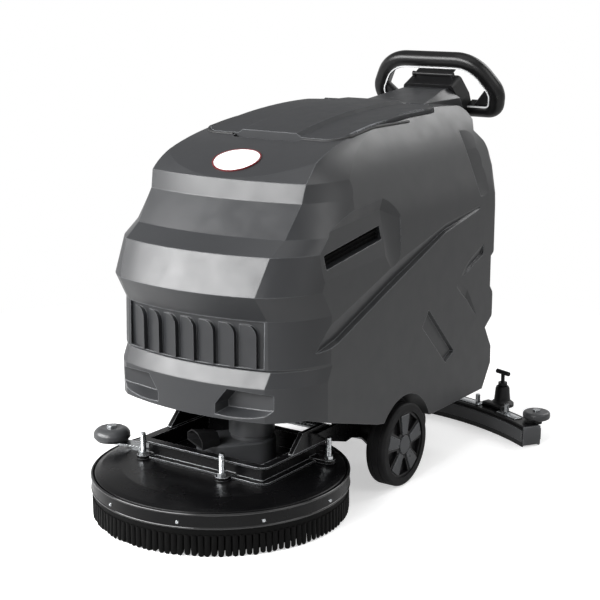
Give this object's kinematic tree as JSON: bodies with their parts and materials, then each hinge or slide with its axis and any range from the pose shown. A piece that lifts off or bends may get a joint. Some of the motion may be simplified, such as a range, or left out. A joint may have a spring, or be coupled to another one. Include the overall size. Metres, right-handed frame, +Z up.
{
  "type": "walk-behind floor scrubber dryer",
  "caption": "Walk-behind battery floor scrubber dryer with a stepped grey tank body, a round lifting brush deck, a curved rear squeegee, a lid over the recovery tank and a loop handle.",
  "frame": {"origin": "on the floor under the middle of the wheel axle, which is also the middle of the box's base", "axes": "+Z up, -Y towards the brush deck at the front, +X towards the machine's left side"},
  "size_m": [0.8336, 1.296, 0.9796],
  "materials": {
    "body_plastic": "satin moulded dark grey polyethylene",
    "grille_plastic": "satin dark grey ABS",
    "black_plastic": "black textured plastic",
    "deck_black": "glossy black powder coat",
    "grip_rubber": "soft black moulded grip",
    "blade_rubber": "black rubber",
    "bristle": "black nylon bristles",
    "tyre_rubber": "black tyre rubber",
    "trim_grey": "satin mid grey plastic",
    "pale_bead": "pale grey plastic bead",
    "tank_plastic": "natural polyethylene",
    "zinc_steel": "zinc plated steel",
    "green_button": "green plastic",
    "blue_button": "blue plastic",
    "display_glass": "dark clear acrylic"
  },
  "bodies": {
    "body": {"main_housing": "body_plastic", "front_grille": "grille_plastic", "vent_inserts": "black_plastic", "recovery_tank": "tank_plastic", "filter_basket": "black_plastic", "solution_tank": "tank_plastic", "batteries": "black_plastic", "vacuum_motor": "black_plastic", "chassis_frame": "deck_black", "axle_shaft": "zinc_steel", "hinge_pins": "zinc_steel", "console_body": "black_plastic", "control_panel": "black_plastic", "display_lens": "display_glass", "handle_frame": "deck_black", "handle_grip": "grip_rubber", "handle_trim": "pale_bead"},
    "lid": {"lid": "body_plastic", "lid_seal": "grip_rubber"},
    "deck": {"deck_cover": "deck_black", "skirt_band": "deck_black", "splash_skirt": "blade_rubber", "deck_frame": "deck_black", "deck_studs": "zinc_steel", "gearbox": "deck_black", "brush_motor": "deck_black", "motor_cowl": "black_plastic", "roller_bracket": "zinc_steel"},
    "brush": {"brush_disc": "black_plastic", "brush_bristles": "bristle"},
    "guide_roller": {"guide_roller": "grip_rubber"},
    "squeegee_arm": {"squeegee_arm": "deck_black"},
    "squeegee": {"squeegee_frame": "deck_black", "front_blade": "blade_rubber", "rear_blade": "blade_rubber", "blade_straps": "deck_black", "suction_spigot": "black_plastic", "squeegee_fixings": "zinc_steel"},
    "key": {"key": "black_plastic"},
    "brush_button": {"brush_button": "green_button"},
    "vacuum_button": {"vacuum_button": "blue_button"},
    "flow_knob": {"flow_knob": "black_plastic"},
    "start_lever": {"start_lever": "black_plastic"},
    "deck_lever": {"deck_lever": "black_plastic"},
    "squeegee_lever": {"squeegee_lever": "black_plastic"},
    "wheel_left": {"tyre_left": "tyre_rubber", "wheel_hub_left": "black_plastic", "wheel_trims_left": "trim_grey"},
    "caster_fork_left": {"caster_fork_left": "deck_black"},
    "caster_wheel_left": {"caster_wheel_left": "blade_rubber"},
    "end_roller_left": {"end_roller_left": "grip_rubber"},
    "pressure_knob_left": {"pressure_knob_left": "black_plastic"},
    "wheel_right": {"tyre_right": "tyre_rubber", "wheel_hub_right": "black_plastic", "wheel_trims_right": "trim_grey"},
    "caster_fork_right": {"caster_fork_right": "deck_black"},
    "caster_wheel_right": {"caster_wheel_right": "blade_rubber"},
    "end_roller_right": {"end_roller_right": "grip_rubber"},
    "pressure_knob_right": {"pressure_knob_right": "black_plastic"}
  },
  "joints": [
    {"name": "wheel_left_spin", "type": "hinge", "parent": "body", "child": "wheel_left", "pos_m": [0.247, 0, 0.1], "axis": [1, 0, 0], "continuous": true},
    {"name": "caster_left_swivel", "type": "hinge", "parent": "body", "child": "caster_fork_left", "pos_m": [0.11, 0.3, 0.1], "axis": [0, 0, 1], "continuous": true},
    {"name": "caster_left_spin", "type": "hinge", "parent": "caster_fork_left", "child": "caster_wheel_left", "pos_m": [0.11, 0.325, 0.0375], "axis": [1, 0, 0], "continuous": true},
    {"name": "wheel_right_spin", "type": "hinge", "parent": "body", "child": "wheel_right", "pos_m": [-0.247, 0, 0.1], "axis": [1, 0, 0], "continuous": true},
    {"name": "caster_right_swivel", "type": "hinge", "parent": "body", "child": "caster_fork_right", "pos_m": [-0.11, 0.3, 0.1], "axis": [0, 0, 1], "continuous": true},
    {"name": "caster_right_spin", "type": "hinge", "parent": "caster_fork_right", "child": "caster_wheel_right", "pos_m": [-0.11, 0.325, 0.0375], "axis": [1, 0, 0], "continuous": true},
    {"name": "lid_hinge", "type": "hinge", "parent": "body", "child": "lid", "pos_m": [0, 0.29, 0.86108], "axis": [-1, 0, 0], "range_deg": [0, 75]},
    {"name": "deck_lift", "type": "hinge", "parent": "body", "child": "deck", "pos_m": [0, -0.03, 0.155], "axis": [-1, 0, 0], "range_deg": [0, 8]},
    {"name": "brush_spin", "type": "hinge", "parent": "deck", "child": "brush", "pos_m": [0, -0.357, 0.05], "axis": [0, 0, 1], "continuous": true},
    {"name": "guide_roller_spin", "type": "hinge", "parent": "deck", "child": "guide_roller", "pos_m": [-0.292, -0.397, 0.13], "axis": [0, 0, 1], "continuous": true},
    {"name": "squeegee_lift", "type": "hinge", "parent": "body", "child": "squeegee_arm", "pos_m": [0, 0.365, 0.124], "axis": [1, 0, 0], "range_deg": [0, 12]},
    {"name": "squeegee_swivel", "type": "hinge", "parent": "squeegee_arm", "child": "squeegee", "pos_m": [0, 0.5, 0.075], "axis": [0, 0, 1], "range_deg": [-15, 15]},
    {"name": "end_roller_left_spin", "type": "hinge", "parent": "squeegee", "child": "end_roller_left", "pos_m": [0.38178, 0.47856, 0.068], "axis": [0, 0, 1], "continuous": true},
    {"name": "pressure_knob_left_turn", "type": "hinge", "parent": "squeegee", "child": "pressure_knob_left", "pos_m": [0.25102, 0.54187, 0.1], "axis": [0, 0, 1], "continuous": true},
    {"name": "end_roller_right_spin", "type": "hinge", "parent": "squeegee", "child": "end_roller_right", "pos_m": [-0.38178, 0.47856, 0.068], "axis": [0, 0, 1], "continuous": true},
    {"name": "pressure_knob_right_turn", "type": "hinge", "parent": "squeegee", "child": "pressure_knob_right", "pos_m": [-0.25102, 0.54187, 0.1], "axis": [0, 0, 1], "continuous": true},
    {"name": "key_turn", "type": "hinge", "parent": "body", "child": "key", "pos_m": [-0.046, 0.61216, 0.88788], "axis": [0, -0.9033, -0.4289], "range_deg": [0, 90]},
    {"name": "brush_button_press", "type": "slide", "parent": "body", "child": "brush_button", "axis": [0, -0.9033, -0.4289], "range_m": [0, 0.003], "stiffness_N_per_m": 300, "springref_m": -0.001},
    {"name": "vacuum_button_press", "type": "slide", "parent": "body", "child": "vacuum_button", "axis": [0, -0.9033, -0.4289], "range_m": [0, 0.003], "stiffness_N_per_m": 300, "springref_m": -0.001},
    {"name": "flow_knob_turn", "type": "hinge", "parent": "body", "child": "flow_knob", "pos_m": [0.046, 0.61301, 0.88607], "axis": [0, -0.9033, -0.4289], "range_deg": [0, 270]},
    {"name": "start_lever_press", "type": "hinge", "parent": "body", "child": "start_lever", "pos_m": [0, 0.57522, 0.91905], "axis": [1, 0, 0], "range_deg": [0, 12], "stiffness_Nm_per_rad": 0.6, "springref_deg": -5.73},
    {"name": "deck_lever_turn", "type": "hinge", "parent": "body", "child": "deck_lever", "pos_m": [0.13, 0.484, 0.58], "axis": [1, 0, 0], "range_deg": [0, 50]},
    {"name": "squeegee_lever_turn", "type": "hinge", "parent": "body", "child": "squeegee_lever", "pos_m": [-0.13, 0.484, 0.58], "axis": [1, 0, 0], "range_deg": [0, 50]}
  ],
  "couplings": [
    {"joint": "deck_lever_turn", "follows": "deck_lift", "ratio": 6.24},
    {"joint": "squeegee_lever_turn", "follows": "squeegee_lift", "ratio": 4.16}
  ]
}
